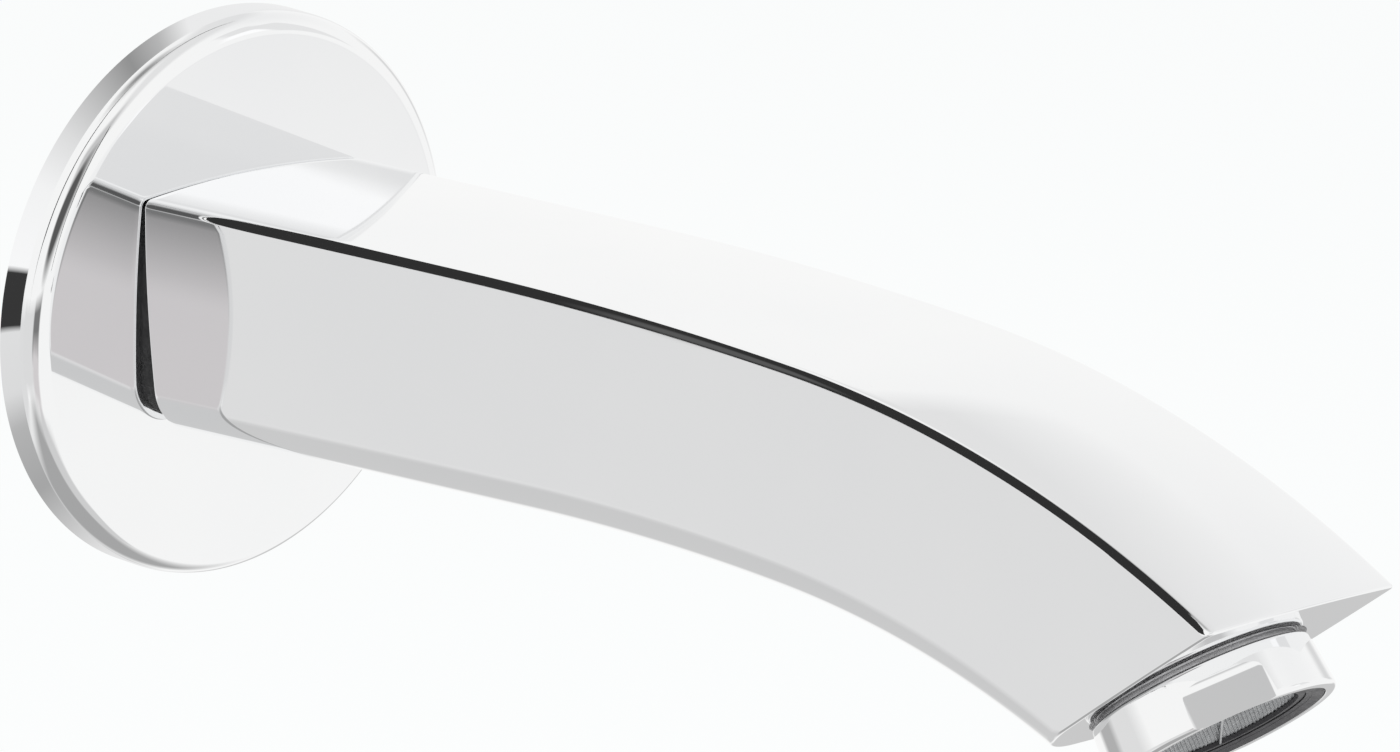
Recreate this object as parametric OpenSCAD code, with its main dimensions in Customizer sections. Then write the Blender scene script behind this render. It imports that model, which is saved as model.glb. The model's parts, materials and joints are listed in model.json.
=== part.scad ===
// Wall spout for a bath or basin: a cast body that arches out from a round wall
// flange and carries a screw-in aerator under its lip.
// The wall is the plane y = 0, the inlet axis is the Y axis, and the spout
// reaches along -Y. Side profiles are drawn in (reach, height), where reach = -y.

/* [Wall flange] */
// Diameter of the flange
flange_d = 75; // [72:0.5:80]
// Depth of the flange, from the wall to its front face
flange_depth = 6.6; // [6.6:0.1:8]
// Rounding of the flange's front edge
flange_edge_r = 2.8; // [1:0.1:3]

/* [Spout body] */
// Height of the top edge above the inlet axis, where the body meets the flange
body_top = 15.8; // [15.4:0.1:17]
// Height of the body's end face
body_depth = 30.6; // [30:0.1:33]
// Width of the body at the flange
base_w = 39.2; // [38:0.2:42]
// Width of the body at the lip
tip_w = 34.4; // [33.4:0.2:36]
// Angle by which the body rises as it leaves the flange
spout_rise = 3.35; // [2.5:0.05:4]
// Straight length of the top edge
top_run = 55.5; // [50:0.5:60]
// Radius of the top edge's long bend
top_long_r = 607; // [580:1:640]
// Angle of the top edge's long bend
top_long_turn = 5.15; // [4.8:0.05:5.5]
// Radius of the top edge's bend towards the lip
top_short_r = 172.5; // [168:0.5:178]
// Angle of the top edge's bend towards the lip
top_short_turn = 23.7; // [23:0.1:24.5]
// Angle by which the underside rises as it leaves the flange
bottom_rise = 3.7; // [3.4:0.05:4]
// Straight length of the underside
bottom_run = 62.5; // [60:0.5:65]
// Radius of the underside's long bend
bottom_long_r = 376; // [360:1:390]
// Angle of the underside's long bend
bottom_long_turn = 6.5; // [6:0.1:7]
// Radius of the underside's bend towards the outlet
bottom_short_r = 145.5; // [142:0.5:150]
// Angle of the underside's bend towards the outlet
bottom_short_turn = 17.8; // [17:0.1:18.5]
// Thickness of the cast wall
wall_t = 3; // [2.6:0.1:3.2]

/* [Aerator] */
// Outer diameter of the aerator's thread
aerator_thread_d = 28; // [28:0.1:28.2]
// Distance of the aerator's axis from the lip, along the outlet face
outlet_setback = 19.8; // [19.4:0.1:20.2]
// Height of the aerator's collar
collar_h = 7.3; // [6.8:0.1:8]
// Distance across the collar's spanner flats
collar_flats = 27; // [26.6:0.1:27.6]

/* [Wall connection] */
// Outer diameter of the supply thread, which is a half inch pipe thread
supply_thread_d = 20.955; // [20.9:0.005:21]
// Length of the supply thread behind the wall
supply_thread_l = 13; // [11:0.5:16]
// Diameter of the nipple's plain end, which enters the body
spigot_d = 19.9; // [19.8:0.05:19.95]
// Width across flats of the nipple's key socket
nipple_key = 12; // [10:1:12]

/* [Hidden] */
$fn = 96;
eps = 0.01;

chrome = [0.86, 0.87, 0.88];
raw_brass = [0.80, 0.64, 0.36];
black_rubber = [0.06, 0.06, 0.065];
grey_foam = [0.22, 0.22, 0.23];
red_fibre = [0.55, 0.16, 0.12];
steel = [0.66, 0.67, 0.68];
dark_plastic = [0.17, 0.17, 0.18];
pale_plastic = [0.82, 0.83, 0.82];

// Flange
flange_r = flange_d / 2;
flange_face_t = 1.8;
flange_rim_t = 2.5;
hub_bore_r = 13.3;
hub_r = 16;
hub_back = 1.2;
grip_ring_t = 1.4;
grip_ring_reach = 5.3;
grip_groove_w = 1.6;
seal_w = 3.2;
seal_gap = 0.2;

// Body seal, a wedge that fills the gap between the flat flange and the body's
// end face, which leans back because the body rises
seal_top_t = 0.25;
seal_inset = 0.9;

// Body
body_start = flange_depth + seal_top_t;
neck_r = 13.1;
neck_back = 4.4;
inlet_bore_r = 10;
inlet_bore_end = 36;
top_edge_r = 1;
crown_base = 1.2;
crown_tip = 1;
side_bulge = 0.7;
lean_base = 2.8;
lean_tip = 1.7;
corner_base_r = 5.9;
corner_tip_r = 9;
belly = 0.85;
// Steps along the body and its waterway, and round half of the section
body_steps = 30;
cavity_steps = 16;
edge_steps = 3;
corner_steps = 6;
top_steps = 4;
side_steps = 5;
low_steps = 3;
// The waterway's ends, as fractions of the body's length
cavity_from = 0.16;
cavity_to = 0.92;
cavity_top_r = 1.6;
cavity_corner_min_r = 2.4;
screw_reach = 16;
screw_hole_r = 2.65;

// Outlet socket, measured along the outlet axis from the outlet face
socket_r = aerator_thread_d / 2 - 0.5;
socket_depth = 7.8;
socket_mouth = 0.8;
throat_r = 11.5;
throat_depth = 14;

// Nipple
shoulder_r = 12.8;
shoulder_front = 4;
washer_t = 1.5;
washer_bore_r = 10.6;
thread_relief_r = 9.3;
spigot_r = spigot_d / 2;
spigot_end = 33;
water_r = 5.5;
key_depth = 12;
oring_floor_r = 8.3;
oring_groove_w = 2.5;
rear_oring_reach = 22.5;
front_oring_reach = 27.5;
grip_floor_r = 8.9;
grip_floor_w = 1.6;
screw_point_r = 0.8;
screw_key = 3;
screw_key_depth = 2.4;
screw_l = 5;

// Aerator, measured along the outlet axis with the body's side positive
thread_top = 6;
thread_play = 0.05;
thread_r = socket_r - thread_play;
thread_lead = 0.5;
thread_relief = 0.45;
collar_gap = 0.5;
collar_top_r = 14.25;
collar_rim_r = 14.8;
collar_rim = -collar_gap - collar_h;
collar_chamfer = 0.4;
housing_bore_r = 12.2;
lip_r = 11.7;
lip_top = collar_rim + 0.9;
lip_chamfer = 0.6;
mouth_r = 12.9;
flat_top = -2.4;
flat_corner_r = 1.5;
flat_turn = 52;
insert_r = 12.1;
insert_bore_r = 10.9;
insert_flange_r = 13.2;
insert_flange_t = 0.6;
insert_lip_r = 10;
insert_lip_t = 0.5;
air_slots = 16;
air_slot_w = 1.6;
air_slot_floor_r = 11.4;
air_hole_low = -1.4;
air_hole_high = -0.2;
gasket_bore_r = 11.2;
gasket_play = 0.1;

// The stack inside the insert, from the mouth upwards
stack_r = 10.8;
stack_bore_r = 9.8;
screen_t = 0.4;
screen_pitch = 1.9;
screen_wire = 0.5;
spacer_h = 1.3;
lower_screen_z = lip_top + insert_lip_t;
screen_step = screen_t + spacer_h;
sleeve_low = lower_screen_z + 2 * screen_step + screen_t;
jet_plate_z = 0.4;
jet_plate_t = 1.2;
jet_plate_top = jet_plate_z + jet_plate_t;
jet_rings = [[6.2, 12], [8.7, 18]];
jet_hole_r = 0.5;
core_base_r = 7.2;
core_base_t = 0.8;
core_r = 4.2;
core_h = 2.6;
core_notches = 8;
core_notch_w = 1;
core_notch_depth = 0.8;
regulator_ring_r = 5.3;
regulator_ring_t = 2;
dome_foot = 0.8;
dome_r = 9.6;
dome_h = 5;
dome_t = 0.8;
dome_slots = 12;
dome_slot_w = 0.9;
dome_slot_from_r = 3.2;
dome_slot_low = 0.6;

// Plane geometry in (reach, height)
function unit(v) = v / norm(v);
function turned(p, a) = [p[0] * cos(a) - p[1] * sin(a), p[0] * sin(a) + p[1] * cos(a)];
function heading(a) = [cos(a), sin(a)];
function mix(a, b, k) = a + (b - a) * k;
function arc_length(r, turn) = r * turn * PI / 180;

// The point reached from p, with heading a, after turning down through an arc
function bent(p, a, r, turn) =
    p + r * [sin(a) - sin(a - turn), cos(a - turn) - cos(a)];

// A rail is [start, heading, straight run, long radius, long turn, short radius, short turn]
function rail_length(q) = q[2] + arc_length(q[3], q[4]) + arc_length(q[5], q[6]);
function run_end(q) = q[0] + q[2] * heading(q[1]);
function long_end(q) = bent(run_end(q), q[1], q[3], q[4]);
function rail_point(q, k) =
    let (d = k * rail_length(q), d_long = d - q[2], d_short = d_long - arc_length(q[3], q[4]))
    d_long <= 0 ? q[0] + d * heading(q[1])
    : d_short <= 0 ? bent(run_end(q), q[1], q[3], q[4] * d_long / arc_length(q[3], q[4]))
    : bent(long_end(q), q[1] - q[4], q[5], q[6] * d_short / arc_length(q[5], q[6]));

top_start = [body_start, body_top];
bottom_start = top_start + body_depth * heading(spout_rise - 90);
top_rail = [top_start, spout_rise, top_run,
            top_long_r, top_long_turn, top_short_r, top_short_turn];
bottom_rail = [bottom_start, bottom_rise, bottom_run,
               bottom_long_r, bottom_long_turn, bottom_short_r, bottom_short_turn];
lip = rail_point(top_rail, 1);
heel = rail_point(bottom_rail, 1);
outlet_tilt = atan2(lip[1] - heel[1], lip[0] - heel[0]);
outlet_centre = lip + outlet_setback * unit(heel - lip);

// Points of a rounded corner between the lines towards a and b
function fillet(a, corner, b, r, n) =
    let (u = unit(a - corner), v = unit(b - corner), half = acos(u * v) / 2,
         centre = corner + unit(u + v) * r / sin(half),
         start = corner + u * r / tan(half) - centre)
    [for (i = [0:n]) centre + turned(start, (180 - 2 * half) * i / n)];

// Points between a and b, without a and b
function between(a, b, n) = [for (i = [1:n - 1]) mix(a, b, i / n)];

// Half of the body's section, from the middle of the top to the middle of the
// underside: a rounded trapezium of half widths w and foot, and height h
function half_section(w, foot, h, edge_r, corner_r) =
    let (top_mid = [0, 0], low_mid = [0, h],
         edge = fillet(top_mid, [w, 0], [foot, h], edge_r, edge_steps),
         corner = fillet([w, 0], [foot, h], low_mid, corner_r, corner_steps))
    concat([top_mid], between(top_mid, edge[0], top_steps), edge,
           between(edge[edge_steps], corner[0], side_steps), corner,
           between(corner[corner_steps], low_mid, low_steps), [low_mid]);

// Crowns the top, swells the sides and rounds the underside
function swollen(p, w, h, crown) =
    let (across = p[0] / w, down = p[1] / h, crest = 1 - across * across)
    [p[0] + side_bulge * 4 * down * (1 - down) * across,
     p[1] + crest * (belly * down - crown * (1 - down))];

// The whole section at fraction k of the body's length, moved inwards by inset
function section(k, inset, edge_r, corner_min_r) =
    let (a = rail_point(top_rail, k), b = rail_point(bottom_rail, k),
         h = norm(b - a) - 2 * inset, w = mix(base_w, tip_w, k) / 2 - inset,
         foot = w - mix(lean_base, lean_tip, k),
         corner_r = max(corner_min_r, mix(corner_base_r, corner_tip_r, k) - inset),
         crown = mix(crown_base, crown_tip, k),
         half = [for (p = half_section(w, foot, h, edge_r, corner_r)) swollen(p, w, h, crown)],
         n = len(half))
    concat(half, [for (i = [n - 2:-1:1]) [-half[i][0], half[i][1]]]);

// The section's points in space, on the plane through both rails
function ring(k, inset, edge_r, corner_min_r) =
    let (a = rail_point(top_rail, k), down = unit(rail_point(bottom_rail, k) - a))
    [for (p = section(k, inset, edge_r, corner_min_r))
        let (q = a + (p[1] + inset) * down) [p[0], -q[0], q[1]]];

function loft_faces(rings, n) = concat(
    [[for (j = [n - 1:-1:0]) j]],
    [for (i = [0:rings - 2], j = [0:n - 1])
        let (a = i * n + j, b = i * n + (j + 1) % n)
        each [[a, b + n, a + n], [a, b, b + n]]],
    [[for (j = [0:n - 1]) (rings - 1) * n + j]]);

module loft(from, to, steps, inset, edge_r, corner_min_r) {
    rings = [for (i = [0:steps]) ring(mix(from, to, i / steps), inset, edge_r, corner_min_r)];
    polyhedron(points = [for (r = rings) each r],
               faces = loft_faces(steps + 1, len(rings[0])));
}

// Turns children drawn along +Z to run out from the wall, along -Y
module from_wall() {
    rotate([90, 0, 0]) children();
}

// Places children drawn about the Z axis on the outlet axis, with z = 0 on the
// outlet face and +Z into the body
module at_outlet() {
    translate([0, -outlet_centre[0], outlet_centre[1]])
        rotate([-outlet_tilt, 0, 0]) children();
}

// A ring with a rectangular section, from z = low to z = high
module band(inner_r, outer_r, low, high) {
    translate([0, 0, low]) difference() {
        cylinder(r = outer_r, h = high - low);
        translate([0, 0, -eps]) cylinder(r = inner_r, h = high - low + 2 * eps);
    }
}

// A groove of width w round a shaft of radius r, down to floor_r
module groove(floor_r, r, middle, w) {
    band(floor_r, r + 1, middle - w / 2, middle + w / 2);
}

// A ring of round section, whose middle is at height z
module round_ring(middle_r, thickness, z) {
    translate([0, 0, z]) rotate_extrude() translate([middle_r, 0])
        circle(d = thickness, $fn = 32);
}

module wall_flange() {
    edge_mid = [flange_r - flange_edge_r, flange_depth - flange_edge_r];
    color(chrome) from_wall() difference() {
        rotate_extrude($fn = 180) difference() {
            union() {
                square([edge_mid[0], flange_depth]);
                square([flange_r, edge_mid[1]]);
                translate(edge_mid) circle(r = flange_edge_r, $fn = 64);
            }
            translate([hub_r, -eps])
                square([flange_r - flange_rim_t - hub_r, flange_depth - flange_face_t + eps]);
            translate([-eps, -eps]) square([hub_bore_r + eps, flange_depth + 2 * eps]);
            translate([hub_bore_r - eps, -eps])
                square([hub_r - hub_bore_r + 2 * eps, hub_back + eps]);
            translate([hub_bore_r - eps, grip_ring_reach - grip_groove_w / 2])
                square([neck_r + grip_ring_t - hub_bore_r + eps, grip_groove_w]);
        }
    }
}

module wall_seal() {
    outer_r = flange_r - flange_rim_t - seal_gap;
    color(grey_foam) from_wall()
        band(outer_r - seal_w, outer_r, 0, flange_depth - flange_face_t);
}

module grip_ring() {
    color(black_rubber) from_wall()
        round_ring(neck_r + grip_ring_t / 2, grip_ring_t, grip_ring_reach);
}

module body_seal() {
    outline = [for (p = section(0, seal_inset, top_edge_r, cavity_corner_min_r))
        [p[0], body_top - p[1] - seal_inset]];
    reach = seal_top_t + body_depth * sin(spout_rise);
    color(black_rubber) difference() {
        translate([0, -flange_depth, 0]) rotate([90, 0, 0])
            linear_extrude(height = reach) polygon(outline);
        translate([0, -body_start, body_top]) rotate([-spout_rise, 0, 0])
            translate([-base_w, -base_w, -2 * base_w]) cube([2 * base_w, base_w, 3 * base_w]);
        from_wall() cylinder(r = neck_r + seal_gap, h = 3 * flange_depth);
    }
}

module spout_body() {
    color(chrome) difference() {
        union() {
            loft(0, 1, body_steps, 0, top_edge_r, 0);
            from_wall() translate([0, 0, neck_back])
                cylinder(r = neck_r, h = 2 * body_start - neck_back);
        }
        loft(cavity_from, cavity_to, cavity_steps, wall_t, cavity_top_r, cavity_corner_min_r);
        from_wall() cylinder(r = inlet_bore_r, h = inlet_bore_end);
        at_outlet() {
            translate([0, 0, -1]) cylinder(r = socket_r, h = socket_depth + 1);
            translate([0, 0, -eps])
                cylinder(r1 = socket_r + socket_mouth, r2 = socket_r, h = socket_mouth);
            cylinder(r = throat_r, h = throat_depth);
        }
        translate([0, -screw_reach, -body_depth])
            cylinder(r = screw_hole_r, h = body_depth - inlet_bore_r / 2, $fn = 48);
    }
}

module connection_nipple() {
    color(raw_brass) difference() {
        from_wall() union() {
            translate([0, 0, -supply_thread_l]) cylinder(d = supply_thread_d, h = supply_thread_l);
            translate([0, 0, -supply_thread_l - 1])
                cylinder(d1 = supply_thread_d - 2, d2 = supply_thread_d, h = 1);
            translate([0, 0, -eps]) cylinder(r = thread_relief_r, h = washer_t + 2 * eps);
            translate([0, 0, washer_t]) cylinder(r = shoulder_r, h = shoulder_front - washer_t);
            translate([0, 0, shoulder_front - eps])
                cylinder(r = spigot_r, h = spigot_end - shoulder_front - 1 + 2 * eps);
            translate([0, 0, spigot_end - 1])
                cylinder(r1 = spigot_r, r2 = spigot_r - 1, h = 1);
        }
        from_wall() {
            translate([0, 0, -supply_thread_l - 2])
                cylinder(r = water_r, h = supply_thread_l + spigot_end + 4);
            translate([0, 0, spigot_end - key_depth])
                cylinder(d = nipple_key / cos(30), h = key_depth + 1, $fn = 6);
            groove(oring_floor_r, spigot_r, rear_oring_reach, oring_groove_w);
            groove(oring_floor_r, spigot_r, front_oring_reach, oring_groove_w);
            grip_groove();
        }
    }
}

// The tapered groove that the grub screw's point enters
module grip_groove() {
    depth = spigot_r + 1 - grip_floor_r;
    half_w = grip_floor_w / 2;
    translate([0, 0, screw_reach]) rotate_extrude()
        polygon([[grip_floor_r, -half_w], [grip_floor_r + depth, -half_w - depth],
                 [grip_floor_r + depth, half_w + depth], [grip_floor_r, half_w]]);
}

module nipple_washer() {
    color(red_fibre) from_wall() band(washer_bore_r, shoulder_r, 0, washer_t);
}

// A spigot seal, squeezed between the groove's floor and the body's bore
module spigot_oring(reach) {
    thickness = inlet_bore_r - oring_floor_r;
    color(black_rubber) from_wall()
        round_ring(oring_floor_r + thickness / 2, thickness, reach);
}

module rear_oring() {
    spigot_oring(rear_oring_reach);
}

module front_oring() {
    spigot_oring(front_oring_reach);
}

module grub_screw() {
    point_h = screw_hole_r - screw_point_r;
    color(steel) translate([0, -screw_reach, -grip_floor_r]) rotate([180, 0, 0]) difference() {
        union() {
            cylinder(r1 = screw_point_r, r2 = screw_hole_r, h = point_h, $fn = 48);
            translate([0, 0, point_h]) cylinder(r = screw_hole_r, h = screw_l - point_h, $fn = 48);
        }
        translate([0, 0, screw_l - screw_key_depth])
            cylinder(d = screw_key / cos(30), h = screw_key_depth + 1, $fn = 6);
    }
}

// The chromed housing: a male thread above, a collar with two flats below
module aerator_housing() {
    color(chrome) at_outlet() difference() {
        rotate_extrude() polygon([
            [housing_bore_r, thread_top],
            [thread_r - thread_lead, thread_top],
            [thread_r, thread_top - thread_lead],
            [thread_r, collar_gap],
            [thread_r - thread_relief, collar_gap],
            [thread_r - thread_relief, -collar_gap],
            [collar_top_r - collar_chamfer, -collar_gap],
            [collar_top_r, -collar_gap - collar_chamfer],
            [collar_rim_r, collar_rim + collar_chamfer],
            [collar_rim_r - collar_chamfer, collar_rim],
            [mouth_r, collar_rim],
            [lip_r, collar_rim + lip_chamfer],
            [lip_r, lip_top],
            [housing_bore_r, lip_top]]);
        for (side = [0, 180]) rotate([0, 0, flat_turn + side]) spanner_flat();
    }
}

// The cutter for one flat: square below, with rounded upper corners
module spanner_flat() {
    half_w = sqrt(pow(collar_rim_r, 2) - pow(collar_flats / 2, 2));
    low = collar_rim - 1;
    translate([collar_flats / 2, 0, 0]) rotate([90, 0, 90])
        linear_extrude(height = collar_rim_r) {
            translate([-half_w, low]) square([2 * half_w, flat_top - flat_corner_r - low]);
            translate([flat_corner_r - half_w, low])
                square([2 * (half_w - flat_corner_r), flat_top - low]);
            for (side = [-1, 1])
                translate([side * (half_w - flat_corner_r), flat_top - flat_corner_r])
                    circle(r = flat_corner_r, $fn = 32);
        }
}

module aerator_gasket() {
    color(black_rubber) at_outlet()
        band(gasket_bore_r, socket_r - gasket_play, thread_top + insert_flange_t, socket_depth);
}

// Cutters, placed round the outlet axis, from radius from_r outwards
module air_cutters(from_r, low, high) {
    for (i = [0:air_slots - 1]) rotate([0, 0, i * 360 / air_slots])
        translate([from_r, -air_slot_w / 2, low]) cube([insert_r, air_slot_w, high - low]);
}

// The insert's shell: a flanged tube with an inner lip. Air climbs the slots in
// its outer face and enters through the holes above them.
module insert_shell() {
    color(dark_plastic) at_outlet() difference() {
        union() {
            band(insert_bore_r, insert_r, lip_top, thread_top);
            band(insert_bore_r, insert_flange_r, thread_top, thread_top + insert_flange_t);
            band(insert_lip_r, insert_bore_r + eps, lip_top, lip_top + insert_lip_t);
        }
        air_cutters(air_slot_floor_r, lip_top - 1, air_hole_high);
        air_cutters(stack_bore_r, air_hole_low, air_hole_high);
    }
}

// The domed strainer that stands up into the waterway, on a skirt that rests on
// the jet plate
module filter_dome() {
    color(pale_plastic) at_outlet() difference() {
        rotate_extrude() union() {
            translate([stack_bore_r, jet_plate_top])
                square([stack_r - stack_bore_r, thread_top - jet_plate_top]);
            translate([dome_r - dome_t, thread_top - dome_foot])
                square([stack_r - dome_r + dome_t, dome_foot]);
            polygon(concat(
                [for (a = [0:10:90]) [dome_r * cos(a), thread_top + dome_h * sin(a)]],
                [for (a = [90:-10:0])
                    [(dome_r - dome_t) * cos(a), thread_top + (dome_h - dome_t) * sin(a)]],
                [[dome_r - dome_t, thread_top - dome_foot / 2],
                 [dome_r, thread_top - dome_foot / 2]]));
        }
        for (i = [0:dome_slots - 1]) rotate([0, 0, i * 360 / dome_slots])
            translate([dome_slot_from_r, -dome_slot_w / 2, thread_top + dome_slot_low])
                cube([dome_r, dome_slot_w, dome_h]);
    }
}

// The post and seat that the regulator's ring works against
module regulator_core() {
    notch_z = jet_plate_top + core_base_t;
    color(pale_plastic) at_outlet() difference() {
        union() {
            translate([0, 0, jet_plate_top]) cylinder(r = core_base_r, h = core_base_t);
            translate([0, 0, jet_plate_top]) cylinder(r = core_r, h = core_h);
        }
        for (i = [0:core_notches - 1]) rotate([0, 0, i * 360 / core_notches])
            translate([core_r - core_notch_depth, -core_notch_w / 2, notch_z])
                cube([core_base_r, core_notch_w, core_h]);
    }
}

module regulator_ring() {
    color(black_rubber) at_outlet()
        round_ring(regulator_ring_r, regulator_ring_t,
                   jet_plate_top + core_base_t + regulator_ring_t / 2);
}

module jet_plate() {
    color(pale_plastic) at_outlet() difference() {
        translate([0, 0, jet_plate_z]) cylinder(r = stack_r, h = jet_plate_t);
        for (row = jet_rings, i = [0:row[1] - 1]) rotate([0, 0, i * 360 / row[1]])
            translate([row[0], 0, jet_plate_z - 1])
                cylinder(r = jet_hole_r, h = jet_plate_t + 2, $fn = 16);
    }
}

// The tube in which air meets the jets, with a hole at each of the shell's slots
module mixing_sleeve() {
    color(pale_plastic) at_outlet() difference() {
        band(stack_bore_r, stack_r, sleeve_low, jet_plate_z);
        air_cutters(stack_bore_r - 1, air_hole_low, air_hole_high);
    }
}

// A round wire screen, drawn as a grid of square gaps inside a plain rim
module screen(i, turn) {
    gap = screen_pitch - screen_wire;
    gap_corner = gap * sqrt(2) / 2;
    reach = floor(stack_bore_r / screen_pitch);
    color(steel) at_outlet() translate([0, 0, lower_screen_z + i * screen_step])
        rotate([0, 0, turn]) linear_extrude(height = screen_t) difference() {
            circle(r = stack_r);
            for (i = [-reach:reach], j = [-reach:reach])
                if (norm([i, j]) * screen_pitch + gap_corner < stack_bore_r)
                    translate([i, j] * screen_pitch) square(gap, center = true);
        }
}

module lower_screen() {
    screen(0, 0);
}

module middle_screen() {
    screen(1, 45);
}

module upper_screen() {
    screen(2, 0);
}

module spacer(i) {
    low = lower_screen_z + i * screen_step + screen_t;
    color(pale_plastic) at_outlet() band(stack_bore_r, stack_r, low, low + spacer_h);
}

module lower_spacer() {
    spacer(0);
}

module upper_spacer() {
    spacer(1);
}

wall_flange();
wall_seal();
grip_ring();
body_seal();
spout_body();
connection_nipple();
nipple_washer();
rear_oring();
front_oring();
grub_screw();
aerator_housing();
aerator_gasket();
insert_shell();
filter_dome();
regulator_core();
regulator_ring();
jet_plate();
mixing_sleeve();
upper_screen();
upper_spacer();
middle_screen();
lower_spacer();
lower_screen();
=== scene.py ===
"""Wall spout: smooth plated metal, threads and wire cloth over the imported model,
with a plain studio and the photograph's camera. Sizes are in millimetres."""

import json
import math

import bmesh
import bpy
from mathutils import Matrix, Vector


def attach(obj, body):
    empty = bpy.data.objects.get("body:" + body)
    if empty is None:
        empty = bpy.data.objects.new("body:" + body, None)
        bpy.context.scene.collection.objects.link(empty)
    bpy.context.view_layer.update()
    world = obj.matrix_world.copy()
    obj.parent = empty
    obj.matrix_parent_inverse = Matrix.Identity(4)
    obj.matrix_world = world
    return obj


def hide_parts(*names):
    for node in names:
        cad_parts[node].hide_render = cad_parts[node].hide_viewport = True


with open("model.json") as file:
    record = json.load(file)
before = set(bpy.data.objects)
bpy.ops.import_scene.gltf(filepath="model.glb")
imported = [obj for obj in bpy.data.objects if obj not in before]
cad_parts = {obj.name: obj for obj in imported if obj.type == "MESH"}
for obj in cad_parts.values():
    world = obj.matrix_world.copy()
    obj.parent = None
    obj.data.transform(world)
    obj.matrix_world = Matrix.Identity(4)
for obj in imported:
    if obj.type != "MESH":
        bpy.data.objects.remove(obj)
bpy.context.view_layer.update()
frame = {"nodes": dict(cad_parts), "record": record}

MM = 0.001

# Sizes of the solids, as the model's source gives them. A pair in the body's section gives the
# value at the wall and at the lip. A rail is a straight run, then radius and turn of two bends.
FLANGE_R = 37.5
FLANGE_DEPTH = 6.6
FLANGE_EDGE_R = 2.8
FLANGE_FACE_T = 1.8
FLANGE_RIM_T = 2.5
HUB_R = 16
HUB_BORE_R = 13.3
HUB_BACK = 1.2
BODY_START = 6.85
BODY_TOP = 15.8
BODY_DEPTH = 30.6
BASE_W = 39.2
TIP_W = 34.4
SPOUT_RISE = 3.35
TOP_RAIL = (55.5, 607, 5.15, 172.5, 23.7)
BOTTOM_RISE = 3.7
BOTTOM_RAIL = (62.5, 376, 6.5, 145.5, 17.8)
TOP_EDGE_R = 1
CROWN = (1.2, 1)
SIDE_BULGE = 0.7
LEAN = (2.8, 1.7)
CORNER_R = (5.9, 9)
BELLY = 0.85
WALL_T = 3
CAVITY = (0.16, 0.92)
CAVITY_TOP_R = 1.6
CAVITY_CORNER_MIN_R = 2.4
NECK_R = 13.1
NECK_BACK = 4.4
INLET_BORE_R = 10
INLET_BORE_END = 36
SCREW_REACH = 16
SCREW_HOLE_R = 2.65
OUTLET_SETBACK = 19.8
SOCKET_R = 13.5
SOCKET_DEPTH = 7.8
SOCKET_MOUTH = 0.8
THROAT_R = 11.5
THROAT_DEPTH = 14
COLLAR_GAP = 0.5
COLLAR_RIM = -7.8
COLLAR_TOP_R = 14.25
COLLAR_RIM_R = 14.8
COLLAR_FLATS = 27
FLAT_TOP = -2.4
FLAT_CORNER_R = 1.5
FLAT_TURN = 52
FLAT_HALF_W = 6.2
THREAD_TOP = 6
HOUSING_THREAD_R = 13.45
HOUSING_BORE_R = 12.2
HOUSING_LIP_R = 11.7
HOUSING_LIP_TOP = -6.9
RELIEF_DEPTH = 0.45
LOWER_SCREEN_Z = -6.4
SCREEN_STEP = 1.7
SCREEN_T = 0.4
SCREEN_R = 10.8
SHELL_LIP_R = 10
SHELL_LIP_LOW = -6.9
SUPPLY_R = 10.4775
SUPPLY_L = 13
SUPPLY_LEAD = 1
RELIEF_R = 9.3
WASHER_T = 1.5
SHOULDER_R = 12.8
SHOULDER_FRONT = 4
SPIGOT_R = 9.95
SPIGOT_END = 33
WATER_R = 5.5
KEY_FLATS = 12
KEY_DEPTH = 12
ORING_FLOOR_R = 8.3
ORING_GROOVE_W = 2.5
ORING_REACHES = (22.5, 27.5)
GRIP_FLOOR_R = 8.9
GRIP_FLOOR_W = 1.6

# Forms that only this script draws: end and edge roundings
BASE_ROUND_R = 0.3
TIP_ROUND_R = 0.45
LEAST_EDGE_R = 0.3
FLAT_EDGE_R = 1.2
HOUSING_EDGE_R = 0.1
COLLAR_EDGE_R = 0.65

# The recess in the housing's rim, and the insert's dark skirt in it
MOUTH_R = 13.2
MOUTH_DEPTH = 0.5
MOUTH_RING_R = (10.95, 13.1)
MOUTH_RING_LOW = (LOWER_SCREEN_Z - 0.65, COLLAR_RIM + 0.08)
MOUTH_RING_EDGE_R = 0.02

# The pipe thread
SUPPLY_PITCH = 1.814
SUPPLY_THREAD_DEPTH = 1.162
THREAD_FLAT_SHARE = 0.12
THREAD_RUN_OUT = 1.2

# The wire cloths, as cloth, solid, turn in degrees and pitch, from the mouth upwards
CLOTHS = (
    ("lower_cloth", "lower_screen", -48, 0.5),
    ("middle_cloth", "middle_screen", 45, 0.8),
    ("upper_cloth", "upper_screen", 0, 0.8),
)
WIRE_D = 0.2
WIRE_SIDES = 5
STEPS_PER_CROSSING = 3

# The wire under the lower cloth
RIB_TURN = 46.5
RIB_R = 0.2
RIB_END = 0.4

# The gap between body and collar: radius and lowest height of the faces that get painted shade, a dull
# grey metal
GAP_ON_BODY = (SOCKET_R + SOCKET_MOUTH, 0.02)
GAP_ON_HOUSING = (COLLAR_TOP_R - 0.5, -COLLAR_GAP - 0.05)
GAP_TOP = SOCKET_MOUTH + 0.2

# How finely the smooth pieces are made, and from which angle an edge is drawn sharp
BODY_RINGS = 150
CAVITY_RINGS = 40
LATHE_SEGMENTS = 192
FLANGE_SEGMENTS = 256
THREAD_SEGMENTS = 120
THREAD_STEPS = 16
SUPPORT = 0.08
SHARP_ANGLE = 32
HOUSING_SHARP_ANGLE = 10
NIPPLE_SHARP_ANGLE = 50
WIRE_SHARP_ANGLE = 60
WELD_DISTANCE = 0.003

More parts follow.
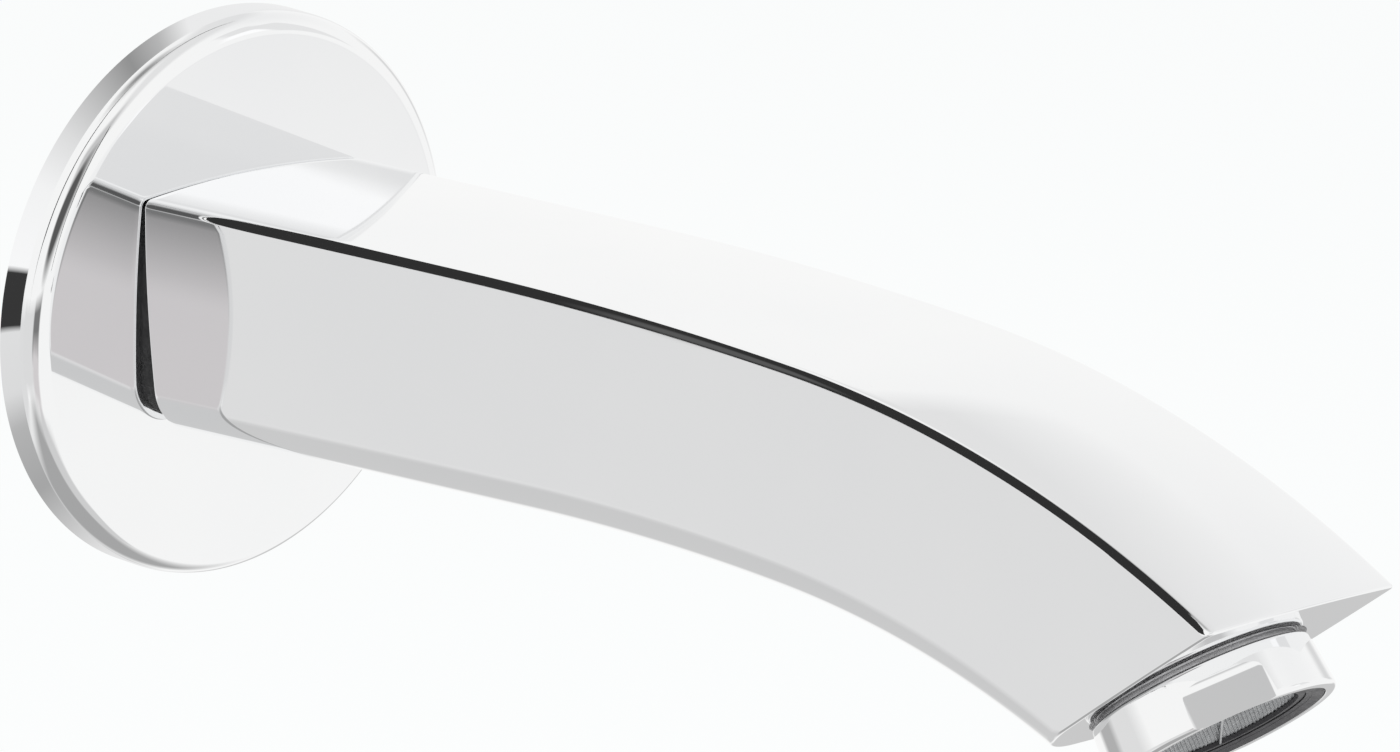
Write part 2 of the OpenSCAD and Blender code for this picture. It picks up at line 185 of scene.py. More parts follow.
# The photograph's camera. Azimuth 0 looks along +Y and elevation is above the horizon.
VIEW_AZIMUTH = -47.676
VIEW_ELEVATION = 15.619
VIEW_ROLL = 3.708
VIEW_DISTANCE = 1285.71
VIEW_LENS = 265.47
VIEW_AIM = Vector((0, -85.714, 0))
VIEW_AIM_RIGHT = 1.287
VIEW_AIM_UP = 7.789
SENSOR_W = 36


def mix(a, b, k):
    return a + (b - a) * k


def radians_all(*angles):
    return [math.radians(a) for a in angles]


# Node materials


class Surface:
    """A principled material with short calls for its procedural detail."""

    def __init__(self, name, colour, roughness, metallic=0.0):
        self.material = bpy.data.materials.new(name)
        self.material.use_nodes = True
        self.nodes = self.material.node_tree.nodes
        self.links = self.material.node_tree.links
        self.shader = self.nodes["Principled BSDF"]
        self.shader.inputs["Base Color"].default_value = (*colour, 1)
        self.shader.inputs["Roughness"].default_value = roughness
        self.shader.inputs["Metallic"].default_value = metallic
        self.place = self.nodes.new("ShaderNodeTexCoord").outputs["Object"]

    def stretched(self, factors, turn=(0, 0, 0)):
        """The place, scaled along each axis, so that a pattern runs in one direction."""
        node = self.nodes.new("ShaderNodeMapping")
        node.inputs["Scale"].default_value = factors
        node.inputs["Rotation"].default_value = radians_all(*turn)
        self.links.new(self.place, node.inputs["Vector"])
        return node.outputs["Vector"]

    def noise(self, size, detail=3.0, place=None):
        """Noise whose features are about size millimetres across."""
        node = self.nodes.new("ShaderNodeTexNoise")
        node.inputs["Scale"].default_value = 1 / (size * MM)
        node.inputs["Detail"].default_value = detail
        self.links.new(place or self.place, node.inputs["Vector"])
        return node.outputs["Fac"]

    def cells(self, size, place=None):
        """Distance to the nearest of scattered points, size millimetres apart."""
        node = self.nodes.new("ShaderNodeTexVoronoi")
        node.inputs["Scale"].default_value = 1 / (size * MM)
        self.links.new(place or self.place, node.inputs["Vector"])
        return node.outputs["Distance"]

    def spread(self, value, low, high, from_low=0.3, from_high=0.7):
        """value, mapped from its own range to low and high."""
        node = self.nodes.new("ShaderNodeMapRange")
        node.inputs["From Min"].default_value = from_low
        node.inputs["From Max"].default_value = from_high
        node.inputs["To Min"].default_value = low
        node.inputs["To Max"].default_value = high
        self.links.new(value, node.inputs["Value"])
        return node.outputs["Result"]

    def rough(self, value, low, high):
        self.links.new(self.spread(value, low, high), self.shader.inputs["Roughness"])
        return self

    def tint(self, value, colour_a, colour_b):
        node = self.nodes.new("ShaderNodeMix")
        node.data_type = "RGBA"
        node.inputs["A"].default_value = (*colour_a, 1)
        node.inputs["B"].default_value = (*colour_b, 1)
        self.links.new(self.spread(value, 0, 1), node.inputs["Factor"])
        self.links.new(node.outputs["Result"], self.shader.inputs["Base Color"])
        return self

    def bump(self, value, depth, strength=1.0):
        """Relief of about depth millimetres."""
        node = self.nodes.new("ShaderNodeBump")
        node.inputs["Strength"].default_value = strength
        node.inputs["Distance"].default_value = depth * MM
        self.links.new(value, node.inputs["Height"])
        if self.shader.inputs["Normal"].is_linked:
            before = self.shader.inputs["Normal"].links[0].from_socket
            self.links.new(before, node.inputs["Normal"])
        self.links.new(node.outputs["Normal"], self.shader.inputs["Normal"])
        return self


def chrome():
    """Mirror plate over a polished casting, with a very slight unevenness."""
    s = Surface("chrome", (0.93, 0.935, 0.94), 0.03, 1.0)
    s.rough(s.noise(6, 4), 0.02, 0.045)
    s.tint(s.noise(25, 2), (0.925, 0.93, 0.937), (0.94, 0.943, 0.947))
    s.bump(s.noise(14, 1), 0.002, 0.5)
    return s.material


def gap_painted_shade():
    """Dull grey metal, darker and rougher than the chrome, laid on the narrow gap between body and collar
    as painted shade.
    """
    s = Surface("gap_painted_shade", (0.62, 0.62, 0.63), 0.36, 1.0)
    s.tint(s.noise(2, 3), (0.57, 0.57, 0.58), (0.67, 0.67, 0.68))
    s.rough(s.noise(0.8, 3), 0.3, 0.42)
    s.bump(s.noise(0.3, 2), 0.004, 0.4)
    return s.material


def turned_brass():
    s = Surface("brass", (0.72, 0.52, 0.24), 0.3, 1.0)
    along_axis = s.stretched((0.15, 6, 0.15))
    s.tint(s.noise(5, 4), (0.66, 0.46, 0.2), (0.78, 0.58, 0.29))
    s.rough(s.noise(1.5, 4, along_axis), 0.22, 0.42)
    s.bump(s.noise(0.8, 3, along_axis), 0.01, 0.4)
    return s.material


def black_rubber():
    s = Surface("black_rubber", (0.018, 0.018, 0.019), 0.55)
    s.tint(s.noise(3, 4), (0.014, 0.014, 0.015), (0.026, 0.026, 0.027))
    s.rough(s.noise(0.7, 4), 0.45, 0.7)
    s.bump(s.noise(0.25, 2), 0.01, 0.5)
    return s.material


def grey_foam():
    s = Surface("grey_foam", (0.12, 0.12, 0.125), 0.9)
    s.tint(s.cells(0.7), (0.17, 0.17, 0.175), (0.08, 0.08, 0.084))
    s.rough(s.noise(1, 3), 0.85, 1.0)
    s.bump(s.cells(0.7), 0.12, 0.7)
    return s.material


def red_fibre():
    s = Surface("red_fibre", (0.35, 0.08, 0.05), 0.75)
    fibres = s.stretched((1, 5, 1), (20, 0, 35))
    s.tint(s.noise(0.8, 6, fibres), (0.28, 0.055, 0.035), (0.45, 0.13, 0.085))
    s.rough(s.noise(1, 3), 0.65, 0.85)
    s.bump(s.noise(0.5, 5, fibres), 0.03, 0.6)
    return s.material


def steel_wire():
    s = Surface("steel", (0.56, 0.57, 0.58), 0.3, 1.0)
    s.tint(s.noise(1.2, 3), (0.48, 0.49, 0.5), (0.64, 0.65, 0.66))
    s.rough(s.noise(0.5, 3), 0.22, 0.4)
    s.bump(s.noise(0.15, 2), 0.004, 0.4)
    return s.material


def dark_plastic():
    s = Surface("dark_plastic", (0.055, 0.054, 0.058), 0.42)
    s.shader.inputs["Specular IOR Level"].default_value = 0.3
    s.tint(s.noise(4, 3), (0.045, 0.044, 0.048), (0.07, 0.069, 0.073))
    s.rough(s.noise(0.6, 3), 0.35, 0.52)
    s.bump(s.noise(0.3, 2), 0.006, 0.4)
    return s.material


def pale_plastic():
    s = Surface("pale_plastic", (0.68, 0.69, 0.68), 0.4)
    s.shader.inputs["Subsurface Weight"].default_value = 0.15
    s.shader.inputs["Subsurface Radius"].default_value = (0.001, 0.001, 0.001)
    s.tint(s.noise(5, 3), (0.64, 0.65, 0.64), (0.72, 0.73, 0.72))
    s.rough(s.noise(0.8, 3), 0.34, 0.48)
    s.bump(s.noise(0.4, 2), 0.005, 0.4)
    return s.material


MATERIALS = {
    "chrome": chrome(),
    # Painted shade for the gap between body and collar
    "gap_painted_shade": gap_painted_shade(),
    "brass": turned_brass(),
    "black_rubber": black_rubber(),
    "grey_foam": grey_foam(),
    "red_fibre": red_fibre(),
    "steel": steel_wire(),
    "dark_plastic": dark_plastic(),
    "pale_plastic": pale_plastic(),
}


# Meshes


def mesh_object(name, points, faces, slot, sharp_angle=SHARP_ANGLE):
    """A piece made of points in millimetres, smooth except at sharp edges."""
    mesh = bpy.data.meshes.new(name)
    mesh.from_pydata([Vector(p) * MM for p in points], [], faces)
    mesh.validate()
    obj = bpy.data.objects.new(name, mesh)
    bpy.context.scene.collection.objects.link(obj)
    mesh.materials.append(MATERIALS[slot])
    smooth(mesh, sharp_angle)
    return obj


def smooth(mesh, sharp_angle):
    mesh.shade_smooth()
    mesh.set_sharp_from_angle(angle=math.radians(sharp_angle))


def weld(mesh):
    """Joins the points that a cut leaves on top of each other."""
    form = bmesh.new()
    form.from_mesh(mesh)
    bmesh.ops.remove_doubles(form, verts=form.verts, dist=WELD_DISTANCE * MM)
    form.to_mesh(mesh)
    form.free()


def combine(obj, others, operation):
    """Joins the others to obj or takes them out of it, and removes them."""
    for other in others:
        modifier = obj.modifiers.new(other.name, "BOOLEAN")
        modifier.operation = operation
        modifier.solver = "EXACT"
        modifier.object = other
    evaluated = obj.evaluated_get(bpy.context.evaluated_depsgraph_get())
    mesh = bpy.data.meshes.new_from_object(evaluated)
    obj.modifiers.clear()
    obj.data = mesh
    for other in others:
        bpy.data.objects.remove(other)


def cut(obj, cutters, sharp_angle=SHARP_ANGLE):
    """Takes the cutters out of obj."""
    combine(obj, cutters, "DIFFERENCE")
    weld(obj.data)
    smooth(obj.data, sharp_angle)
    return obj


def dress(obj, node):
    """obj stands for a CAD node."""
    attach(obj, "root")
    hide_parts(node)


def paint_gap_shade(obj, radius, low):
    """Painted shade in the gap: the dull grey metal on the faces inside that radius and above that height.
    """
    obj.data.materials.append(MATERIALS["gap_painted_shade"])
    gap_shade_index = len(obj.data.materials) - 1
    to_outlet = AT_OUTLET.inverted()
    for face in obj.data.polygons:
        q = to_outlet @ (face.center / MM)
        if low < q.z < GAP_TOP and math.hypot(q.x, q.y) < radius:
            face.material_index = gap_shade_index
    return obj


# Plane geometry, in (reach, height) or (radius, height)


def turned(v, angle):
    c, s = math.cos(angle), math.sin(angle)
    return Vector((v.x * c - v.y * s, v.x * s + v.y * c))


def fillet(a, corner, b, radius, steps):
    """Points of a rounded corner between the lines towards a and b."""
    a, corner, b = Vector(a), Vector(corner), Vector(b)
    u = (a - corner).normalized()
    v = (b - corner).normalized()
    half = u.angle(v) / 2
    centre = corner + (u + v).normalized() * radius / math.sin(half)
    start = corner + u * radius / math.tan(half) - centre
    side = math.copysign(1, u.x * v.y - u.y * v.x)
    sweep = -side * (math.pi - 2 * half)
    return [centre + turned(start, sweep * i / steps) for i in range(steps + 1)]


def rounded(corners, steps=6):
    """A closed outline of (x, y, radius) corners, with short straight ends beside each
    arc, so that the flats between them stay flat when shaded."""
    outline = []
    for i, (x, y, radius) in enumerate(corners):
        before = Vector(corners[i - 1][:2])
        after = Vector(corners[(i + 1) % len(corners)][:2])
        here = Vector((x, y))
        if radius == 0:
            outline.append(here)
            continue
        arc = fillet(before, here, after, radius, steps)
        outline.append(arc[0] + (before - here).normalized() * SUPPORT)
        outline += arc
        outline.append(arc[-1] + (after - here).normalized() * SUPPORT)
    return outline


def circle(radius, segments=LATHE_SEGMENTS):
    return [
        (radius * math.cos(2 * math.pi * i / segments), radius * math.sin(2 * math.pi * i / segments))
        for i in range(segments)
    ]


# Turned pieces


FROM_WALL = Matrix.Rotation(math.pi / 2, 4, "X")


def lathe(name, outline, place, slot, segments=LATHE_SEGMENTS):
    """A closed (radius, height) outline turned round the local Z axis."""
    n = len(outline)
    points = []
    for x, y in circle(1, segments):
        points += [place @ Vector((p[0] * x, p[0] * y, p[1])) for p in outline]
    faces = []
    for i in range(segments):
        a, b = i * n, (i + 1) % segments * n
        for j in range(n):
            k = (j + 1) % n
            faces.append((a + j, b + j, b + k, a + k))
    return mesh_object(name, points, faces, slot)


def rod(name, radius, low, high, place, slot, segments=LATHE_SEGMENTS, high_radius=None):
    """A closed cylinder or cone from low to high on the local Z axis."""
    top = radius if high_radius is None else high_radius
    points = [place @ Vector((x, y, low)) for x, y in circle(radius, segments)]
    points += [place @ Vector((x, y, high)) for x, y in circle(top, segments)]
    faces = [tuple(reversed(range(segments))), tuple(range(segments, 2 * segments))]
    for i in range(segments):
        j = (i + 1) % segments
        faces.append((i, j, segments + j, segments + i))
    return mesh_object(name, points, faces, slot)


# The body's two rails


def heading(angle):
    return Vector((math.cos(math.radians(angle)), math.sin(math.radians(angle))))


class Rail:
    """A straight run, a long bend and a short bend, drawn in (reach, height)."""

    def __init__(self, start, rise, sizes):
        self.start = Vector(start)
        self.rise = rise
        self.run, self.long_r, self.long_turn, self.short_r, self.short_turn = sizes
        self.long_l = math.radians(self.long_turn) * self.long_r
        self.short_l = math.radians(self.short_turn) * self.short_r
        self.length = self.run + self.long_l + self.short_l

    def bent(self, start, angle, radius, turn):
        a, b = radians_all(angle, angle - turn)
        return start + radius * Vector((math.sin(a) - math.sin(b), math.cos(b) - math.cos(a)))

    def point(self, k):
        along = k * self.length
        run_end = self.start + self.run * heading(self.rise)
        if along <= self.run:
            return self.start + along * heading(self.rise)
        along -= self.run
        if along <= self.long_l:
            return self.bent(run_end, self.rise, self.long_r, self.long_turn * along / self.long_l)
        long_end = self.bent(run_end, self.rise, self.long_r, self.long_turn)
        turn = self.short_turn * (along - self.long_l) / self.short_l
        return self.bent(long_end, self.rise - self.long_turn, self.short_r, turn)


top_start = Vector((BODY_START, BODY_TOP))
bottom_start = top_start + BODY_DEPTH * heading(SPOUT_RISE - 90)
top_rail = Rail(top_start, SPOUT_RISE, TOP_RAIL)
bottom_rail = Rail(bottom_start, BOTTOM_RISE, BOTTOM_RAIL)
lip = top_rail.point(1)
heel = bottom_rail.point(1)
outlet_tilt = math.atan2(lip.y - heel.y, lip.x - heel.x)
outlet_centre = lip + OUTLET_SETBACK * (heel - lip).normalized()
AT_OUTLET = Matrix.Translation((0, -outlet_centre.x, outlet_centre.y)) @ Matrix.Rotation(
    -outlet_tilt, 4, "X"
)


def between(a, b, steps):
    return [a.lerp(b, i / steps) for i in range(1, steps)]


def half_section(w, foot, h, edge_r, corner_r, fineness):
    """From the middle of the top to the middle of the underside."""
    top_mid, low_mid = Vector((0, 0)), Vector((0, h))
    edge = fillet(top_mid, (w, 0), (foot, h), edge_r, 3 * fineness)
    corner = fillet((w, 0), (foot, h), low_mid, corner_r, 4 * fineness)
    points = [top_mid] + between(top_mid, edge[0], 6 * fineness) + edge
    points += between(edge[-1], corner[0], 6 * fineness) + corner
    return points + between(corner[-1], low_mid, 4 * fineness) + [low_mid]


def ring(k, inset, edge_r, corner_min_r, fineness):
    """The body's section at fraction k of its length, moved inwards by inset."""
    a, b = top_rail.point(k), bottom_rail.point(k)
    down = (b - a).normalized()
    h = (b - a).length - 2 * inset
    w = mix(BASE_W, TIP_W, k) / 2 - inset
    foot = w - mix(*LEAN, k)
    corner_r = max(corner_min_r, mix(*CORNER_R, k) - inset)
    crown = mix(*CROWN, k)
    half = []
    for p in half_section(w, foot, h, edge_r, corner_r, fineness):
        across, depth = p.x / w, p.y / h
        crest = 1 - across * across
        x = p.x + SIDE_BULGE * 4 * depth * (1 - depth) * across
        half.append((x, p.y + crest * (BELLY * depth - crown * (1 - depth))))
    section = half + [(-x, y) for x, y in reversed(half[1:-1])]
    places = [(x, a + (y + inset) * down) for x, y in section]
    return [Vector((x, -q.x, q.y)) for x, q in places]


def skin(name, rings, slot):
    """A closed form through the rings."""
    n = len(rings[0])
    last = (len(rings) - 1) * n
    faces = [tuple(range(n)), tuple(reversed(range(last, last + n)))]
    for i in range(len(rings) - 1):
        for j in range(n):
            a, b = i * n + j, i * n + (j + 1) % n
            faces.append((a, a + n, b + n, b))
    return mesh_object(name, [p for r in rings for p in r], faces, slot)


def end_round(k_end, towards, radius, steps=5):
    """Rings that round the edge of one end, from the flat end to the side."""
    made = [(k_end, radius + SUPPORT)]
    for i in range(steps + 1):
        angle = math.pi / 2 * i / steps
        inset = radius * (1 - math.sin(angle))
        step = radius * (1 - math.cos(angle)) / top_rail.length
        made.append((k_end + towards * step, inset))
    return made


def spout_body():
    """The cast body: outer skin, waterway, inlet bore, outlet socket and screw hole."""
    base = end_round(0, 1, BASE_ROUND_R)
    tip = end_round(1, -1, TIP_ROUND_R)
    stations = base + [(i / BODY_RINGS, 0) for i in range(1, BODY_RINGS)] + tip[::-1]
    rings = [ring(k, inset, max(LEAST_EDGE_R, TOP_EDGE_R - inset), 0, 4) for k, inset in stations]
    body = skin("spout_body_skin", rings, "chrome")
    neck = rod("neck", NECK_R, NECK_BACK, 2 * BODY_START, FROM_WALL, "chrome")
    cavity_rings = [
        ring(mix(*CAVITY, i / CAVITY_RINGS), WALL_T, CAVITY_TOP_R, CAVITY_CORNER_MIN_R, 2)
        for i in range(CAVITY_RINGS + 1)
    ]
    waterway = skin("waterway", cavity_rings, "chrome")
    down = Matrix.Translation((0, -SCREW_REACH, 0)) @ Matrix.Rotation(math.pi, 4, "X")
    mouth_r = SOCKET_R + SOCKET_MOUTH + 0.2
    # The mouth's cone runs a little past the socket's wall, so that the two cuts cross cleanly
    mouth_end = SOCKET_MOUTH + 0.1
    combine(body, [neck], "UNION")
    return cut(
        body,
        [
            waterway,
            rod("bore", INLET_BORE_R, -1, INLET_BORE_END, FROM_WALL, "chrome"),
            rod("socket", SOCKET_R, -1, SOCKET_DEPTH, AT_OUTLET, "chrome"),
            rod("mouth", mouth_r, -0.2, mouth_end, AT_OUTLET, "chrome", high_radius=SOCKET_R - 0.1),
            rod("throat", THROAT_R, 1, THROAT_DEPTH, AT_OUTLET, "chrome"),
            rod("screw_hole", SCREW_HOLE_R, INLET_BORE_R / 2, BODY_DEPTH, down, "chrome", segments=48),
        ],
    )


def wall_flange():
    """The rosette, turned as one smooth shell with a hub."""
    inner = FLANGE_R - FLANGE_RIM_T
    recess = FLANGE_DEPTH - FLANGE_FACE_T
    outline = rounded(
        [
            (FLANGE_R, 0, 0.25),
            (FLANGE_R, FLANGE_DEPTH, FLANGE_EDGE_R),
            (HUB_BORE_R, FLANGE_DEPTH, 0.2),
            (HUB_BORE_R, HUB_BACK, 0.2),
            (HUB_R, HUB_BACK, 0.3),
            (HUB_R, recess, 0.6),
            (inner, recess, 0.6),
            (inner, 0, 0.25),
        ],
        steps=12,
    )
    return lathe("wall_flange_shell", outline, FROM_WALL, "chrome", FLANGE_SEGMENTS)


def aerator_housing():
    """The housing: a plain upper part in the socket and a collar with two flats."""
    relief_r = HOUSING_THREAD_R - RELIEF_DEPTH
    seat = COLLAR_RIM + MOUTH_DEPTH
    edge_r = HOUSING_EDGE_R
    outline = rounded(
        [
            (HOUSING_BORE_R, THREAD_TOP, edge_r),
            (HOUSING_THREAD_R, THREAD_TOP, 0.4),
            (HOUSING_THREAD_R, COLLAR_GAP, edge_r),
            (relief_r, COLLAR_GAP, edge_r),
            (relief_r, -COLLAR_GAP, edge_r),
            (COLLAR_TOP_R, -COLLAR_GAP, COLLAR_EDGE_R),
            (COLLAR_RIM_R, COLLAR_RIM, COLLAR_EDGE_R),
            (MOUTH_R, COLLAR_RIM, 0.12),
            (MOUTH_R, seat, edge_r),
            (HOUSING_LIP_R, seat, edge_r),
            (HOUSING_LIP_R, HOUSING_LIP_TOP, edge_r),
            (HOUSING_BORE_R, HOUSING_LIP_TOP, edge_r),
        ],
        steps=14,
    )
    housing = lathe("aerator_housing_shell", outline, AT_OUTLET, "chrome")
    return cut(housing, [spanner_flat(0), spanner_flat(180)], HOUSING_SHARP_ANGLE)


def spanner_flat(turn):
    """The cutter for one flat: a shallow pocket with a hollow rounding round its floor."""
    spin = AT_OUTLET @ Matrix.Rotation(math.radians(FLAT_TURN + turn), 4, "Z")
    near = COLLAR_FLATS / 2
    low = COLLAR_RIM - 1
    steps = 14
    places = []
    for i in range(steps + 1):
        angle = math.pi / 2 * i / steps
        places.append((near + FLAT_EDGE_R * (1 - math.cos(angle)), FLAT_EDGE_R * (1 - math.sin(angle))))
    places.append((near + 5, 0))
    points = []
    for out, inset in places:
        w = FLAT_HALF_W - inset
        top = FLAT_TOP - inset
        corner_r = max(LEAST_EDGE_R, FLAT_CORNER_R - inset)
        side = rounded([(w, low, 0), (w, top, corner_r), (-w, top, corner_r), (-w, low, 0)], steps=10)
        points += [spin @ Vector((out, q.x, q.y)) for q in side]
    n = len(side)
    last = len(places) * n - n
    faces = [tuple(reversed(range(n))), tuple(range(last, last + n))]
    for row in range(0, last, n):
        faces += [(row + i, row + (i + 1) % n, row + n + (i + 1) % n, row + n + i) for i in range(n)]
    return mesh_object("flat_cutter", points, faces, "chrome")


def thread_drop(height, turn):
    """How far a pipe thread's surface lies below its crest, as a share of its depth."""
    phase = (height / SUPPLY_PITCH - turn) % 1
    flank = abs(2 * phase - 1)
    share = min(1, max(0, (flank - THREAD_FLAT_SHARE) / (1 - 2 * THREAD_FLAT_SHARE)))
    return share * share * (3 - 2 * share)


def connection_nipple():
    """The brass nipple, with its pipe thread cut and its key socket."""
    length = SUPPLY_L + SUPPLY_LEAD
    root_r = SUPPLY_R - SUPPLY_THREAD_DEPTH
    rows = round(length / SUPPLY_PITCH * THREAD_STEPS)
    heights = [length * (i / rows - 1) for i in range(1, rows + 1)]
    front = rounded(
        [
            (RELIEF_R, 0, 0),
            (RELIEF_R, WASHER_T, 0.1),
            (SHOULDER_R, WASHER_T, 0.1),
            (SHOULDER_R, SHOULDER_FRONT, 0.4),
            (SPIGOT_R, SHOULDER_FRONT, 0.1),
            (SPIGOT_R, SPIGOT_END, 0.8),
            (WATER_R, SPIGOT_END, 0.2),
            (WATER_R, -length, 0.4),
            (root_r, -length, 0),
        ],
        steps=4,
    )
    segments = THREAD_SEGMENTS
    points = []
    for i, (x, y) in enumerate(circle(1, segments)):
        for height in heights:
            run_out = min(1, -height / THREAD_RUN_OUT)
            crest = run_out * (1 - thread_drop(height, i / segments))
            chamfer = root_r + height + length
            r = min(root_r + SUPPLY_THREAD_DEPTH * crest, chamfer)
            points.append(FROM_WALL @ Vector((r * x, r * y, height)))
        points += [FROM_WALL @ Vector((p[0] * x, p[0] * y, p[1])) for p in front]
    n = len(heights) + len(front)
    faces = []
    for i in range(segments):
        a, b = i * n, (i + 1) % segments * n
        for j in range(n):
            k = (j + 1) % n
            faces.append((a + k, b + k, b + j, a + j))
    nipple = mesh_object("connection_nipple_threaded", points, faces, "brass", NIPPLE_SHARP_ANGLE)
    key_r = KEY_FLATS / 2 / math.cos(math.pi / 6)
    key_low = SPIGOT_END - KEY_DEPTH
    cutters = [rod("key", key_r, key_low, SPIGOT_END + 1, FROM_WALL, "brass", segments=6)]
    for reach in ORING_REACHES:
        cutters.append(groove_cutter(ORING_FLOOR_R, reach, ORING_GROOVE_W / 2, 0))
    cutters.append(groove_cutter(GRIP_FLOOR_R, SCREW_REACH, GRIP_FLOOR_W / 2, SPIGOT_R + 1 - GRIP_FLOOR_R))
    return cut(nipple, cutters, NIPPLE_SHARP_ANGLE)


def groove_cutter(floor_r, middle, half_w, flare):
    """A ring that cuts a groove, wider outside by flare on each side."""
    outer = SPIGOT_R + 1
    outline = [
        Vector((floor_r, middle - half_w)),
        Vector((outer, middle - half_w - flare)),
        Vector((outer, middle + half_w + flare)),
        Vector((floor_r, middle + half_w)),
    ]
    return lathe("groove", outline, FROM_WALL, "brass", segments=96)


# Wire cloth


def wire_cloth(name, low, turn, pitch):
    """Plain woven cloth: each wire passes over and under the ones that cross it."""
    place = AT_OUTLET @ Matrix.Translation((0, 0, low + SCREEN_T / 2)) @ Matrix.Rotation(
        math.radians(turn), 4, "Z"
    )
    points, faces = [], []
    edge = SCREEN_R - 0.1
    count = int(edge / pitch)
    for way in (0, 1):
        for i in range(-count, count + 1):
            across = i * pitch
            reach = math.sqrt(max(0, edge * edge - across * across))
            steps = max(2, round(2 * reach / pitch * STEPS_PER_CROSSING))
            start = len(points)
            for s in range(steps + 1):
                along = reach * (2 * s / steps - 1)
                wave = math.cos(math.pi * (along / pitch + i)) * WIRE_D / 2 * (1 - 2 * way)
                for c, z in circle(WIRE_D / 2, WIRE_SIDES):
                    flat = (along, across + c) if way == 0 else (across + c, along)
                    points.append(place @ Vector((*flat, wave + z)))
            for s in range(steps):
                for j in range(WIRE_SIDES):
                    a = start + s * WIRE_SIDES + j
                    b = start + s * WIRE_SIDES + (j + 1) % WIRE_SIDES
                    quad = (a, b, b + WIRE_SIDES, a + WIRE_SIDES)
                    faces.append(quad[::-1] if way else quad)
            last = start + steps * WIRE_SIDES
            caps = [range(start, start + WIRE_SIDES), range(last, last + WIRE_SIDES)]
            faces.append(tuple(reversed(caps[1 if way else 0])))
            faces.append(tuple(caps[0 if way else 1]))
    return mesh_object(name, points, faces, "steel", WIRE_SHARP_ANGLE)


def support_wire():
    """A wire across the mouth under the lower cloth, its ends set in the shell's lip."""
    reach = SHELL_LIP_R + RIB_END
    place = AT_OUTLET @ Matrix.Translation((0, 0, SHELL_LIP_LOW + RIB_R + 0.03))
    place = place @ Matrix.Rotation(math.radians(RIB_TURN), 4, "Z") @ Matrix.Rotation(math.pi / 2, 4, "Y")
    wire = rod("support_wire", RIB_R, -reach, reach, place, "steel", segments=16)
    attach(wire, "root")


def mouth_ring():
    """The insert's dark skirt, a cone from the rim's recess in to the lowest cloth."""
    inner, outer = MOUTH_RING_R
    inner_low, outer_low = MOUTH_RING_LOW
    edge_r = MOUTH_RING_EDGE_R
    # Just clear of the housing's lip
    step_r = HOUSING_LIP_R - 0.05
    top = HOUSING_LIP_TOP - 0.03
    seat = COLLAR_RIM + MOUTH_DEPTH - 0.01
    outline = rounded(
        [
            (inner, top, edge_r),
            (step_r, top, edge_r),
            (step_r, seat, edge_r),
            (outer, seat, edge_r),
            (outer, outer_low, 0.05),
            (inner, inner_low, 0.05),
        ],
        steps=4,
    )
    ring_piece = lathe("mouth_ring", outline, AT_OUTLET, "dark_plastic")
    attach(ring_piece, "root")


# Pieces and the solids that they stand for

dress(wall_flange(), "wall_flange")
# The body and the housing get painted shade in the gap between them
dress(paint_gap_shade(spout_body(), *GAP_ON_BODY), "spout_body")
dress(paint_gap_shade(aerator_housing(), *GAP_ON_HOUSING), "aerator_housing")
dress(connection_nipple(), "connection_nipple")
for level, (name, screen, turn, pitch) in enumerate(CLOTHS):
    dress(wire_cloth(name, LOWER_SCREEN_Z + level * SCREEN_STEP, turn, pitch), screen)
support_wire()
mouth_ring()

for part in frame["record"]["subparts"]:
    node = frame["nodes"][part["node"]]
    node.data.materials.clear()
    node.data.materials.append(MATERIALS[part["material_slot"]])


# The studio


def direction(azimuth, elevation):
    """From the object towards a place on the sky. Azimuth 0 is the room's side, -Y."""
    a, e = radians_all(azimuth, elevation)
    return Vector((math.sin(a) * math.cos(e), -math.cos(a) * math.cos(e), math.sin(e)))


